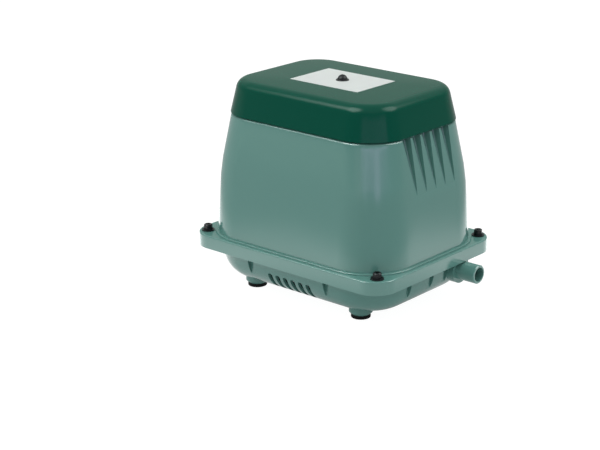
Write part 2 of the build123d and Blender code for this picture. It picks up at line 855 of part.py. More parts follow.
def rod_nuts():
    """Nut on the end of each rod."""
    hexagon = RegularPolygon(nut_flats / 2 + 1.5, 6, major_radius=False)
    nut = extrude(Plane.YZ.offset(nut_face) * Pos(0, axis_z) * hexagon, nut_height)
    nut -= bar(rod_radius, nut_face - 1, nut_face + nut_height + 1, 0, axis_z)
    return group(both_ends(nut))


def diaphragm():
    """Moulded rubber disc with a clamped rim and one convolution, on the outlet side."""
    middle = (casing_face + head_face) / 2
    web = diaphragm_web / 2
    disc = bar(diaphragm_radius, casing_face, head_face, 0, axis_z)
    disc -= bar(chamber_radius - 0.5, casing_face - 1, middle - web, 0, axis_z)
    disc -= bar(chamber_radius - 0.5, middle + web, head_face + 1, 0, axis_z)
    ridge_radius = (plate_radius + chamber_radius) / 2
    bead = Pos(middle, 0, axis_z) * Rot(0, 90, 0) * Torus(ridge_radius, 2.4)
    groove = Pos(middle - 1.4, 0, axis_z) * Rot(0, 90, 0) * Torus(ridge_radius, 1.7)
    disc = disc + bead - groove
    return disc - bar(rod_radius + body_gap, casing_face - 3, head_face + 3, 0, axis_z)


def casing():
    """Ring that clamps a diaphragm's rim to the head, on the outlet side."""
    ring_plate = square_plate(plate_face, head_face, head_size, head_corner)
    ring_plate -= bar(diaphragm_bore, plate_face - 1, head_face + 1, 0, axis_z)
    ring_plate -= bar(diaphragm_radius, casing_face, head_face + 1, 0, axis_z)
    for y, z in head_screw_places():
        ring_plate -= bar(head_screw_radius, plate_face - 1, head_face + 1, y, z)
    return ring_plate


def head_block():
    """Valve head: pressure chamber, valve wall and two back pockets, on the outlet side."""
    head = square_plate(head_face, head_back, head_size, head_corner)
    head -= bar(chamber_radius, head_face - 1, valve_face, 0, axis_z)
    for side in (-1, 1):
        z_low, z_high = sorted((axis_z + side * pocket_bridge, axis_z + side * pocket_reach))
        pocket = block(pocket_face, head_back + 1, -pocket_half_width, pocket_half_width, z_low, z_high)
        head -= fillet(pocket.edges().filter_by(Axis.X), 6)
        z = axis_z + side * valve_offset
        head -= bar(valve_stem + fit_clearance, valve_face - 1, pocket_face + 1, 0, z)
        for place in PolarLocations(port_circle, port_count):
            hole = place.position
            head -= bar(port_radius, valve_face - 1, pocket_face + 1, hole.X, z + hole.Y)
    x_low, x_high = pocket_face + 2, head_back - 2
    top = axis_z + head_size / 2
    half_slot = pocket_half_width * 0.6
    head -= block(x_low, x_high, -half_slot, half_slot, axis_z + pocket_reach - 1, top + 1)
    bottom = axis_z - head_size / 2
    head += post(spigot_radius, spigot_x, 0, bottom - spigot_length, bottom)
    head -= post(spigot_bore, spigot_x, 0, bottom - spigot_length - 1, axis_z - pocket_reach + 1)
    for y, z in head_screw_places():
        head -= bar(head_screw_radius, head_face - 1, head_back + 1, y, z)
    return head


def head_plate(x_low, x_high, open_pockets):
    """Cover or gasket of a head, on the outlet side."""
    plate = square_plate(x_low, x_high, head_size, head_corner)
    if open_pockets:
        for side in (-1, 1):
            z_low, z_high = sorted((axis_z + side * pocket_bridge, axis_z + side * pocket_reach))
            plate -= block(x_low - 1, x_high + 1, -pocket_half_width, pocket_half_width, z_low, z_high)
    else:
        plate = fillet(plate.edges().group_by(Axis.X)[-1], 1.0)
    for y, z in head_screw_places():
        plate -= bar(head_screw_radius, x_low - 1, x_high + 1, y, z)
    return plate


def head_screws():
    """Long screws that hold each cover, head and casing to the frame plate."""
    screws = []
    for y, z in head_screw_places():
        screw = bar(head_screw_radius, plate_face - frame_plate, head_end, y, z)
        head = bar(head_screw_head, head_end, head_end + 3, y, z)
        socket_plane = Plane.YZ.offset(head_end + 1.4) * Pos(y, z)
        head -= extrude(socket_plane * RegularPolygon(1.5, 6, major_radius=False), 3)
        screws += both_ends(screw + head)
    return group(screws)


def valve(face, direction, z):
    """Rubber mushroom valve seated on a face, its skirt on the side the direction names."""
    skirt_low = face + direction * valve_seat_gap
    skirt = sorted((skirt_low, skirt_low + direction * valve_thickness))
    body = bar(valve_radius, *skirt, 0, z)
    stem_end = face - direction * (valve_wall + valve_lift + 2 * body_gap)
    stem = sorted((skirt_low, stem_end))
    body += bar(valve_stem, *stem, 0, z)
    bulb = sorted((stem_end, stem_end - direction * 1.6))
    return body + bar(valve_bulb, *bulb, 0, z)


def sleeve():
    """Rubber sleeve from head to tank, on the outlet side."""
    tube = post(spigot_radius + body_gap / 3 + sleeve_wall, spigot_x, 0, sleeve_bottom, sleeve_top)
    return tube - post(spigot_radius + body_gap / 3, spigot_x, 0, sleeve_bottom - 1, sleeve_top + 1)


def sleeve_clamps():
    """Band clamps on both sleeves."""
    inner = spigot_radius + body_gap / 3 + sleeve_wall
    bands = []
    for z in (sleeve_bottom + 0.6, sleeve_top - 0.6 - clamp_width):
        band = post(inner + clamp_thickness, spigot_x, 0, z, z + clamp_width)
        lug = block(spigot_x - 1.6, spigot_x + 1.6, inner, inner + 4, z, z + clamp_width)
        bore = post(inner, spigot_x, 0, z - 1, z + clamp_width + 1)
        bands += both_ends(band + lug - bore)
    return group(bands)


def stop_switch():
    """Switch on the frame's end plate, with two ears that carry the lever's pin."""
    half = switch_width / 2
    top = switch_low + switch_height
    body = block(switch_wall, switch_wall + switch_length, -half, half, switch_low, top)
    body = fillet(body.edges().filter_by(Axis.Y).group_by(Axis.Z)[-1], 1.5)
    for side in (-1, 1):
        y_low, y_high = sorted((side * (lever_width / 2 + body_gap), side * half))
        x_low, x_high = pin_x - ear_half_length, pin_x + ear_half_length
        body += block(x_low, x_high, y_low, y_high, pin_z - ear_drop, switch_low)
    pin = Pos(pin_x, 0, pin_z) * Rot(90, 0, 0) * Cylinder(lever_pin, switch_width)
    return body + pin


def stop_lever():
    """Strip lever with an eye on the pin."""
    eye = Pos(pin_x, 0, pin_z) * Rot(90, 0, 0) * Cylinder(lever_pin + 1.0, lever_width)
    width, depth = lever_width / 2, lever_thickness / 2
    strip = block(switch_wall + 2, pin_x, -width, width, pin_z - depth, pin_z + depth)
    bore = Pos(pin_x, 0, pin_z) * Rot(90, 0, 0) * Cylinder(lever_pin + 0.06, lever_width + 2)
    return eye + strip - bore


def trip_arm():
    """Upright arm clipped on the left rod, under the lever."""
    x_low, x_high = -trip_arm_x - trip_arm_width / 2, -trip_arm_x + trip_arm_width / 2
    arm = bar(rod_radius + 3, x_low, x_high, 0, axis_z)
    arm += block(x_low + 1, x_high - 1, -2.5, 2.5, axis_z + rod_radius, pin_z - lever_thickness / 2 - 0.8)
    return arm - bar(rod_radius, x_low - 1, x_high + 1, 0, axis_z)


def terminal_block():
    """Three-way terminal block on the tank lid."""
    x = -tank_length / 2 + terminal_length / 2 + terminal_inset_x
    y = tank_width / 2 - terminal_width / 2 - terminal_inset_y
    body = block(
        x - terminal_length / 2, x + terminal_length / 2, y - terminal_width / 2, y + terminal_width / 2,
        lid_top, lid_top + terminal_height,
    )
    for number in (-1, 0, 1):
        place = x + number * terminal_pitch
        middle = lid_top + terminal_height / 2
        body -= post(terminal_screw_radius, place, y, middle, lid_top + terminal_height + 1)
        channel = Rot(90, 0, 0) * Cylinder(terminal_bore, terminal_width + 2)
        body -= Pos(place, y, lid_top + terminal_bore_height) * channel
    return body


def filter_element():
    """Pad of filter foam with a hole for the post."""
    low = deck_top + filter_rib_height + body_gap
    pad = slab(
        2 * (well_x - filter_gap), 2 * (well_y - filter_gap), well_corner - filter_gap,
        low, low + filter_height,
    )
    return pad - post(post_radius + filter_gap, 0, 0, low - 1, low + filter_height + 1)


def cover_shell(inset, top_round, z_low, z_high):
    """Drafted form of the cover, outside or inside."""
    outline = Pos(0, 0, z_low) * RectangleRounded(
        2 * (cover_x - inset), 2 * (cover_y - inset), cover_corner - inset
    )
    form = extrude(outline, z_high - z_low, taper=cover_draft)
    return fillet(form.edges().group_by(Axis.Z)[-1], top_round)


def filter_cover():
    """Hollow drafted cover with a screw boss and hold-down ribs."""
    cover = cover_shell(0, cover_round, cover_bottom, cover_top)
    ceiling = cover_top - cover_wall
    hollow = cover_shell(cover_wall, cover_round - cover_wall, cover_bottom - 0.01, ceiling)
    ribs = post(cover_boss_radius, 0, 0, post_top + body_gap, cover_top - 1)
    rib_low = deck_top + filter_rib_height + filter_height + 2 * body_gap + 1
    half = cover_rib_thickness / 2
    for side in (-1, 1):
        y_low, y_high = sorted((side * (cover_boss_radius - 1), side * (cover_y * cover_rib_share)))
        ribs += block(-half, half, y_low, y_high, rib_low, ceiling + 1)
    cover = cover - hollow + ribs
    for side in (-1, 1):
        stop_x = side * (well_x + lip_wall + stop_offset)
        x_low, x_high = stop_x - stop_thickness / 2, stop_x + stop_thickness / 2
        z_low, z_high = shoulder_height + body_gap, cover_bottom + stop_reach
        for y in (-well_y + stop_inset, well_y - stop_inset):
            y_low, y_high = y - stop_width / 2, y + stop_width / 2
            cover += block(x_low, x_high, y_low, y_high, z_low, z_high)
    return cover - post(cover_screw_radius + fit_clearance, 0, 0, post_top - 1, cover_top + 1)


def cover_label():
    """Plain plate on the cover, open round the screw."""
    plate = Pos(0, 0, cover_top) * Rectangle(label_length, label_width)
    plate = extrude(plate, label_thickness)
    return plate - post(cover_screw_flange + body_gap, 0, 0, cover_top - 1, cover_top + 1)


def cover_screw():
    """Domed flange screw that holds the cover to the deck's post."""
    seat = cover_top + 0.1
    flange = post(cover_screw_flange, 0, 0, seat, seat + cover_screw_flange_height)
    flange = chamfer(flange.edges().group_by(Axis.Z)[-1], 0.5)
    ball = cover_screw_dome
    dome = Pos(0, 0, seat + cover_screw_flange_height - 0.4) * Sphere(ball)
    dome &= block(-ball, ball, -ball, ball, seat + 0.4, seat + cover_screw_flange_height + ball)
    screw = flange + dome
    screw -= Pos(0, 0, seat + cover_screw_flange_height + ball - 0.3) * cross_recess(4.4, 1.2, 1.8)
    return screw + post(cover_screw_radius, 0, 0, post_top - cover_screw_reach, seat + 0.5)


def write_parts():
    """Write every node."""
    os.makedirs("parts", exist_ok=True)
    save("upper_housing", upper_housing())
    save("lower_housing", lower_housing())
    save("housing_gasket", housing_gasket())
    head_seat = flange_top + washer_thickness + spring_thickness
    save("housing_screws", at_flange_screws(housing_screw(), head_seat))
    washer_bore = housing_screw_radius + fit_clearance
    spring_washer = ring(spring_radius, washer_bore, spring_thickness)
    save("spring_washers", at_flange_screws(spring_washer, flange_top + washer_thickness))
    plain_washer = ring(washer_radius, washer_bore, washer_thickness)
    save("plain_washers", at_flange_screws(plain_washer, flange_top))
    for name, sx, sy in (
        ("front_left", -1, -1), ("front_right", 1, -1), ("rear_left", -1, 1), ("rear_right", 1, 1),
    ):
        save(f"foot_{name}", Pos(sx * foot_x, sy * foot_y, 0) * rubber_foot())
    save("foot_screws", group([Pos(x, y, 0) * foot_screw() for x, y in four(foot_x, foot_y)]))
    save("outlet_pipe", outlet_pipe())
    save("outlet_seal", outlet_seal())
    save("cord_gland", cord_gland())
    save("air_tank", air_tank())
    save("tank_lid", tank_cover(lid_bottom, lid_top, True))
    save("tank_gasket", tank_cover(tank_top, lid_bottom, False))
    save("tank_screws", tank_screws())
    save("rubber_mounts", rubber_mounts())
    save("mount_screws", mount_screws())
    save("pump_frame", pump_frame())
    for name, piece in (("core", core()), ("bobbin", bobbin()), ("coil", coil())):
        save(f"{name}_rear", piece)
        save(f"{name}_front", mirror(piece, Plane.XZ))
    save("core_bolts", core_bolts())
    save("magnet_holder", magnet_holder())
    save("magnets", magnets())
    save("rod_nuts", rod_nuts())
    save("centre_plates", centre_plates())
    save("head_screws", head_screws())
    save("trip_arm", trip_arm())
    for name, piece in (
        ("armature_rod", rod()), ("diaphragm", diaphragm()),
        ("diaphragm_casing", casing()), ("head_block", head_block()),
        ("head_gasket", head_plate(head_back, cover_face, True)),
        ("head_cover", head_plate(cover_face, head_end, False)),
        ("sleeve", sleeve()),
        ("intake_valve", valve(valve_face, -1, axis_z + valve_offset)),
        ("exhaust_valve", valve(pocket_face, 1, axis_z - valve_offset)),
    ):
        save(f"{name}_right", piece)
        save(f"{name}_left", mirror(piece, Plane.YZ))
    save("sleeve_clamps", sleeve_clamps())
    save("stop_switch", stop_switch())
    save("stop_lever", stop_lever())
    save("terminal_block", terminal_block())
    save("filter_element", filter_element())
    save("filter_cover", filter_cover())
    save("cover_label", cover_label())
    save("cover_screw", cover_screw())


write_parts()
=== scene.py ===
import json
import math

import bmesh
import bpy
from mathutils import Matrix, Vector

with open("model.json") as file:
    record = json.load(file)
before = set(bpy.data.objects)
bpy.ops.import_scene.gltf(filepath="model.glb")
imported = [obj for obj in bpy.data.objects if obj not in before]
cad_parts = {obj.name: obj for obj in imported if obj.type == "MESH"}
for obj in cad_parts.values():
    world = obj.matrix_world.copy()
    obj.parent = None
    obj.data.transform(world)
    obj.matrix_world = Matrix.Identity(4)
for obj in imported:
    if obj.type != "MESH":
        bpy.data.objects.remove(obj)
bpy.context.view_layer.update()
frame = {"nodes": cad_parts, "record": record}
nodes = frame["nodes"]
print("frame loaded:", len(nodes), "nodes")


def newGroup(name, inputs, outputs):
    tree = bpy.data.node_groups.new(name, "ShaderNodeTree")
    for label, kind, value in inputs:
        socket = tree.interface.new_socket(name=label, in_out="INPUT", socket_type=kind)
        socket.default_value = value
    for label, kind in outputs:
        tree.interface.new_socket(name=label, in_out="OUTPUT", socket_type=kind)
    return tree, tree.nodes.new("NodeGroupInput"), tree.nodes.new("NodeGroupOutput")


noise = {"fineDetail": 3.0, "broadDetail": 1.0, "broadScale": 60.0, "driftDetail": 4.0}


def makeGrainGroup():
    # fine and broad noise in object space, for moulded and cast skins
    tree, given, result = newGroup(
        "surfaceGrain",
        [("Scale", "NodeSocketFloat", 400.0), ("Coarse", "NodeSocketFloat", 0.3)],
        [("Height", "NodeSocketFloat")],
    )
    place = tree.nodes.new("ShaderNodeTexCoord")
    fine = tree.nodes.new("ShaderNodeTexNoise")
    fine.inputs["Detail"].default_value = noise["fineDetail"]
    broad = tree.nodes.new("ShaderNodeTexNoise")
    broad.inputs["Detail"].default_value = noise["broadDetail"]
    broad.inputs["Scale"].default_value = noise["broadScale"]
    blend = tree.nodes.new("ShaderNodeMix")
    tree.links.new(place.outputs["Object"], fine.inputs["Vector"])
    tree.links.new(place.outputs["Object"], broad.inputs["Vector"])
    tree.links.new(given.outputs["Scale"], fine.inputs["Scale"])
    tree.links.new(given.outputs["Coarse"], blend.inputs["Factor"])
    tree.links.new(fine.outputs["Fac"], blend.inputs["A"])
    tree.links.new(broad.outputs["Fac"], blend.inputs["B"])
    tree.links.new(blend.outputs["Result"], result.inputs["Height"])
    return tree


def makeToneGroup():
    # slow drift of colour and gloss over a surface
    tree, given, result = newGroup(
        "toneDrift",
        [
            ("Colour", "NodeSocketColor", (0.5, 0.5, 0.5, 1)),
            ("Other", "NodeSocketColor", (0.5, 0.5, 0.5, 1)),
            ("Scale", "NodeSocketFloat", 9.0),
            ("Gloss", "NodeSocketFloat", 0.4),
            ("Spread", "NodeSocketFloat", 0.05),
        ],
        [("Colour", "NodeSocketColor"), ("Roughness", "NodeSocketFloat")],
    )
    place = tree.nodes.new("ShaderNodeTexCoord")
    drift = tree.nodes.new("ShaderNodeTexNoise")
    drift.inputs["Detail"].default_value = noise["driftDetail"]
    blend = tree.nodes.new("ShaderNodeMix")
    blend.data_type = "RGBA"
    ripple = tree.nodes.new("ShaderNodeMath")
    ripple.operation = "MULTIPLY_ADD"
    tree.links.new(place.outputs["Object"], drift.inputs["Vector"])
    tree.links.new(given.outputs["Scale"], drift.inputs["Scale"])
    tree.links.new(drift.outputs["Fac"], blend.inputs["Factor"])
    tree.links.new(given.outputs["Colour"], blend.inputs["A"])
    tree.links.new(given.outputs["Other"], blend.inputs["B"])
    tree.links.new(drift.outputs["Fac"], ripple.inputs[0])
    tree.links.new(given.outputs["Spread"], ripple.inputs[1])
    tree.links.new(given.outputs["Gloss"], ripple.inputs[2])
    tree.links.new(blend.outputs["Result"], result.inputs["Colour"])
    tree.links.new(ripple.outputs["Value"], result.inputs["Roughness"])
    return tree


grainGroup = makeGrainGroup()
toneGroup = makeToneGroup()
print("shared node groups built")

plainLook = {
    "metallic": 0.0, "specular": 0.5, "roughnessSpread": 0.06, "driftScale": 9.0,
    "grainScale": 500.0, "grainCoarse": 0.3, "bump": 0.1, "bumpDepth": 0.0002,
}


def makeFinish(name, look):
    # a Principled surface whose colour, gloss and bump come from the shared groups
    look = {**plainLook, "other": look["colour"], **look}
    material = bpy.data.materials.new(name)
    material.use_nodes = True
    tree = material.node_tree
    shader = tree.nodes["Principled BSDF"]
    shader.inputs["Metallic"].default_value = look["metallic"]
    shader.inputs["Specular IOR Level"].default_value = look["specular"]
    tone = tree.nodes.new("ShaderNodeGroup")
    tone.node_tree = toneGroup
    tone.inputs["Colour"].default_value = (*look["colour"], 1)
    tone.inputs["Other"].default_value = (*look["other"], 1)
    tone.inputs["Scale"].default_value = look["driftScale"]
    tone.inputs["Gloss"].default_value = look["roughness"]
    tone.inputs["Spread"].default_value = look["roughnessSpread"]
    grain = tree.nodes.new("ShaderNodeGroup")
    grain.node_tree = grainGroup
    grain.inputs["Scale"].default_value = look["grainScale"]
    grain.inputs["Coarse"].default_value = look["grainCoarse"]
    bump = tree.nodes.new("ShaderNodeBump")
    bump.inputs["Strength"].default_value = look["bump"]
    bump.inputs["Distance"].default_value = look["bumpDepth"]
    tree.links.new(tone.outputs["Colour"], shader.inputs["Base Color"])
    tree.links.new(tone.outputs["Roughness"], shader.inputs["Roughness"])
    tree.links.new(grain.outputs["Height"], bump.inputs["Height"])
    tree.links.new(bump.outputs["Normal"], shader.inputs["Normal"])
    return material


housingPaint = makeFinish("housingPaint", {
    "colour": (0.105, 0.25, 0.221), "other": (0.112, 0.26, 0.231), "roughness": 0.14,
    "roughnessSpread": 0.03, "grainScale": 900.0, "bump": 0.08, "bumpDepth": 0.0001,
})
coverPlastic = makeFinish("coverPlastic", {
    "colour": (0.001, 0.066, 0.042), "other": (0.002, 0.072, 0.046), "roughness": 0.16,
    "roughnessSpread": 0.03, "grainScale": 1500.0, "grainCoarse": 0.1, "bump": 0.12, "bumpDepth": 0.0001,
    "specular": 0.1,
})
labelFilm = makeFinish("labelFilm", {
    "colour": (0.57, 0.59, 0.58), "other": (0.6, 0.61, 0.605), "roughness": 0.45, "bump": 0.05,
})
blackOxide = makeFinish("blackOxide", {
    "colour": (0.008, 0.009, 0.01), "other": (0.016, 0.017, 0.019), "roughness": 0.33,
    "metallic": 0.2, "driftScale": 260.0, "bump": 0.25, "specular": 0.25,
})
blackRubber = makeFinish("blackRubber", {
    "colour": (0.004, 0.005, 0.005), "other": (0.008, 0.009, 0.009), "roughness": 0.6, "bump": 0.4,
    "specular": 0.1,
})
gasketSheet = makeFinish("gasketSheet", {
    "colour": (0.05, 0.05, 0.05), "other": (0.07, 0.07, 0.065), "roughness": 0.8, "bump": 0.3,
})
zincSteel = makeFinish("zincSteel", {
    "colour": (0.52, 0.53, 0.52), "other": (0.6, 0.6, 0.56), "roughness": 0.32, "metallic": 1.0,
    "driftScale": 120.0,
})
castAluminium = makeFinish("castAluminium", {
    "colour": (0.5, 0.51, 0.52), "other": (0.6, 0.61, 0.62), "roughness": 0.5, "metallic": 1.0,
    "grainScale": 700.0, "grainCoarse": 0.5, "bump": 0.5, "bumpDepth": 0.0003,
})
frameSteel = makeFinish("frameSteel", {
    "colour": (0.45, 0.46, 0.47), "other": (0.55, 0.56, 0.55), "roughness": 0.38, "metallic": 1.0,
    "driftScale": 30.0,
})
nylon = makeFinish("nylon", {
    "colour": (0.7, 0.68, 0.6), "other": (0.74, 0.72, 0.65), "roughness": 0.5, "bump": 0.15,
})
ferrite = makeFinish("ferrite", {
    "colour": (0.05, 0.05, 0.052), "other": (0.08, 0.08, 0.082), "roughness": 0.55, "bump": 0.5,
})
switchPlastic = makeFinish("switchPlastic", {
    "colour": (0.015, 0.015, 0.016), "other": (0.02, 0.02, 0.021), "roughness": 0.45, "bump": 0.2,
})
springSteel = makeFinish("springSteel", {
    "colour": (0.5, 0.5, 0.5), "other": (0.58, 0.57, 0.55), "roughness": 0.25, "metallic": 1.0,
})


def makeStriped(name, look):
    # fine parallel bands along one object axis, for laminations and windings
    material = makeFinish(name, look)
    tree = material.node_tree
    place = tree.nodes.new("ShaderNodeTexCoord")
    bands = tree.nodes.new("ShaderNodeTexWave")
    bands.bands_direction = look["bandAxis"]
    bands.inputs["Scale"].default_value = look["bandScale"]
    bands.inputs["Distortion"].default_value = look["bandDistortion"]
    tree.links.new(place.outputs["Object"], bands.inputs["Vector"])
    tree.links.new(bands.outputs["Fac"], tree.nodes["Bump"].inputs["Height"])
    return material


laminations = makeStriped("laminations", {
    "colour": (0.16, 0.16, 0.165), "other": (0.22, 0.21, 0.2), "roughness": 0.45, "metallic": 0.8,
    "bandAxis": "Z", "bandScale": 320.0, "bandDistortion": 0.0, "bump": 0.8, "bumpDepth": 0.0002,
})
enamelWire = makeStriped("enamelWire", {
    "colour": (0.3, 0.075, 0.02), "other": (0.42, 0.13, 0.04), "roughness": 0.3, "metallic": 0.7,
    "bandAxis": "Y", "bandScale": 420.0, "bandDistortion": 0.3, "bump": 0.8, "bumpDepth": 0.0004,
})


def makeFoam(name, look):
    # open cells in place of the grain
    material = makeFinish(name, look)
    tree = material.node_tree
    place = tree.nodes.new("ShaderNodeTexCoord")
    cells = tree.nodes.new("ShaderNodeTexVoronoi")
    cells.inputs["Scale"].default_value = look["cellScale"]
    tree.links.new(place.outputs["Object"], cells.inputs["Vector"])
    tree.links.new(cells.outputs["Distance"], tree.nodes["Bump"].inputs["Height"])
    return material


filterFoam = makeFoam("filterFoam", {
    "colour": (0.03, 0.03, 0.03), "other": (0.06, 0.06, 0.06), "roughness": 0.95,
    "driftScale": 300.0, "bump": 1.0, "bumpDepth": 0.001, "cellScale": 700.0,
})

slotFinish = {
    "housing_paint": housingPaint, "cover_plastic": coverPlastic, "label_plate": labelFilm,
    "black_steel": blackOxide, "rubber": blackRubber, "gasket": gasketSheet, "steel": zincSteel,
    "cast_aluminium": castAluminium, "frame_steel": frameSteel, "core_steel": laminations,
    "coil_wire": enamelWire, "bobbin_nylon": nylon, "magnet": ferrite,
    "switch_plastic": switchPlastic, "lever_steel": springSteel, "filter_foam": filterFoam,
}
print("finishes made:", len(slotFinish))

smoothing = {"weld": 1e-5, "angle": math.radians(28)}


def dressNode(name, material):
    # a carried-over part keeps its mesh and gets its finish and smooth shading
    node = nodes[name]
    node.data.materials.clear()
    node.data.materials.append(material)
    for face in node.data.polygons:
        face.use_smooth = True
    weld = node.modifiers.new("weld", "WELD")
    weld.merge_threshold = smoothing["weld"]
    split = node.modifiers.new("creases", "EDGE_SPLIT")
    split.split_angle = smoothing["angle"]
    split.use_edge_sharp = False


for entry in frame["record"]["subparts"]:
    dressNode(entry["node"], slotFinish[entry["material_slot"]])
print("parts dressed")

# distances from the pump's axis in metres, each with the glow at its two ends
ground = {
    "size": 12.0, "drop": 0.0002, "colour": (0.8, 0.8, 0.8),
    "seenGlow": 1.15, "shadowShare": 0.16,  # for the camera
    "sheetEnds": (0.22, 0.52), "sheetGlow": (2.6, 0.6),  # white sheet, then the table
    "aisleEnds": (0.36, 0.43), "aisleGlow": (1.3, 0.38),  # the darker camera side
    # painted shadow: the floor's glow seen in reflections is dimmed below the pump
    "paintedShadowEnds": (0.1, 0.26), "paintedShadowDimming": (0.3, 1.0),  # below the pump
    "bounceGlow": 0.8, "bounceShare": 0.5,  # for diffuse light
}
sheetShare = [
    (0.0, 0.75), (0.03, 0.4), (0.08, 0.0), (0.26, 0.0), (0.3, 0.35), (0.34, 0.75), (0.44, 0.75),
    (0.5, 1.0), (0.96, 1.0), (1.0, 0.75),
]

# heights are the z of a unit direction: where one ring or level blends into the next
studio = {
    "lowEdge": (0.055, 0.065), "windowEdge": (0.11, 0.13), "roomEdge": (0.2, 0.22),
    "ceiling": (0.95, 1.0, 0.98), "ceilingSeen": (0.3, 0.6), "ceilingLit": (0.3, 0.7),
    "boxes": (
        {"aim": (-0.33, -0.62, 0.71), "glow": (13.0, 13.4, 13.2)},
        {"aim": (0.61, 0.425, 0.67), "glow": (8.5, 8.8, 8.6)},
    ),
    "boxEdge": (0.9, 0.985),  # cosine of the angle from a box's aim
}

# what polished faces see round the horizon: azimuth in turns from -Y towards +X, and colour
horizon = [
    (0.0, (0.75, 0.85, 0.85)),
    (0.045, (0.95, 0.95, 0.95)),
    (0.06, (0.62, 0.62, 0.62)),
    (0.075, (1.1, 1.05, 1.35)),
    (0.09, (1.0, 0.95, 1.2)),
    (0.1, (0.55, 0.45, 0.65)),
    (0.135, (0.6, 0.5, 0.75)),
    (0.147, (1.9, 1.6, 2.3)),
    (0.17, (1.9, 1.6, 2.3)),
    (0.185, (0.6, 0.62, 0.8)),
    (0.26, (0.45, 0.55, 0.6)),
    (0.33, (0.35, 0.42, 0.42)),
    (0.42, (0.5, 0.6, 0.55)),
    (0.5, (0.52, 0.58, 0.55)),
    (0.75, (0.55, 0.6, 0.58)),
    (0.88, (0.9, 1.05, 0.95)),
    (1.0, (0.75, 0.85, 0.85)),
]

# the same above the horizon: a dim room with a paler wall behind, and a bluish window in it
dimRoom, paleWall, window = (0.25, 0.27, 0.27), (0.42, 0.47, 0.44), (2.4, 2.0, 3.0)
farWalls = [(0.36, dimRoom), (0.42, paleWall), (0.86, paleWall), (0.92, dimRoom)]
lowRing = [stop for stop in horizon if stop[0] < 0.3] + farWalls
windowRing = [(0.04, dimRoom), (0.05, window), (0.24, window), (0.25, dimRoom)] + farWalls
roomRing = [(0.0, dimRoom)] + farWalls

# soft light round the pump: weak from the camera's quarter, strong from both sides and behind
surround = [
    (0.0, (0.5, 0.5, 0.5)),
    (0.05, (0.3, 0.3, 0.32)),
    (0.27, (0.28, 0.28, 0.3)),
    (0.4, (0.38, 0.38, 0.38)),
    (0.6, (0.6, 0.6, 0.6)),
    (0.88, (0.65, 0.65, 0.65)),
    (1.0, (0.5, 0.5, 0.5)),
]


def turnsAround(tree, vector):
    # angle of a direction or place about the pump, in turns from -Y towards +X
    split = tree.nodes.new("ShaderNodeSeparateXYZ")
    tree.links.new(vector, split.inputs["Vector"])
    behind = tree.nodes.new("ShaderNodeMath")
    behind.operation = "MULTIPLY"
    behind.inputs[1].default_value = -1.0
    tree.links.new(split.outputs["Y"], behind.inputs[0])
    angle = tree.nodes.new("ShaderNodeMath")
    angle.operation = "ARCTAN2"
    tree.links.new(split.outputs["X"], angle.inputs[0])
    tree.links.new(behind.outputs["Value"], angle.inputs[1])
    turns = tree.nodes.new("ShaderNodeMath")
    turns.operation = "MULTIPLY"
    turns.inputs[1].default_value = 0.5 / math.pi
    tree.links.new(angle.outputs["Value"], turns.inputs[0])
    wrapped = tree.nodes.new("ShaderNodeMath")
    wrapped.operation = "FRACT"
    tree.links.new(turns.outputs["Value"], wrapped.inputs[0])
    return wrapped.outputs["Value"], split


def colourRamp(tree, value, stops):
    ramp = tree.nodes.new("ShaderNodeValToRGB")
    tree.links.new(value, ramp.inputs["Fac"])
    band = ramp.color_ramp
    for number, (position, colour) in enumerate(stops):
        stop = band.elements[number] if number < 2 else band.elements.new(position)
        stop.position = position
        stop.color = (*colour, 1)
    return ramp.outputs["Color"]


def mapRange(tree, value, ends, results):
    scale = tree.nodes.new("ShaderNodeMapRange")
    scale.interpolation_type = "SMOOTHSTEP"
    scale.inputs["From Min"].default_value, scale.inputs["From Max"].default_value = ends
    scale.inputs["To Min"].default_value, scale.inputs["To Max"].default_value = results
    tree.links.new(value, scale.inputs["Value"])
    return scale.outputs["Result"]


def setOrLink(tree, value, socket):
    # a number or colour is written on the socket, another socket is linked to it
    if isinstance(value, tuple):
        socket.default_value = (*value, 1)
    elif isinstance(value, float):
        socket.default_value = value
    else:
        tree.links.new(value, socket)


def blendColours(tree, factor, first, second):
    mix = tree.nodes.new("ShaderNodeMix")
    mix.data_type = "RGBA"
    for name, value in (("Factor", factor), ("A", first), ("B", second)):
        setOrLink(tree, value, mix.inputs[name])
    return mix.outputs["Result"]


def emissionOf(tree, strength):
    glow = tree.nodes.new("ShaderNodeEmission")
    setOrLink(tree, strength, glow.inputs["Strength"])
    return glow.outputs["Emission"]


def mixShaders(tree, factor, first, second):
    mix = tree.nodes.new("ShaderNodeMixShader")
    setOrLink(tree, factor, mix.inputs["Fac"])
    tree.links.new(first, mix.inputs[1])
    tree.links.new(second, mix.inputs[2])
    return mix.outputs["Shader"]


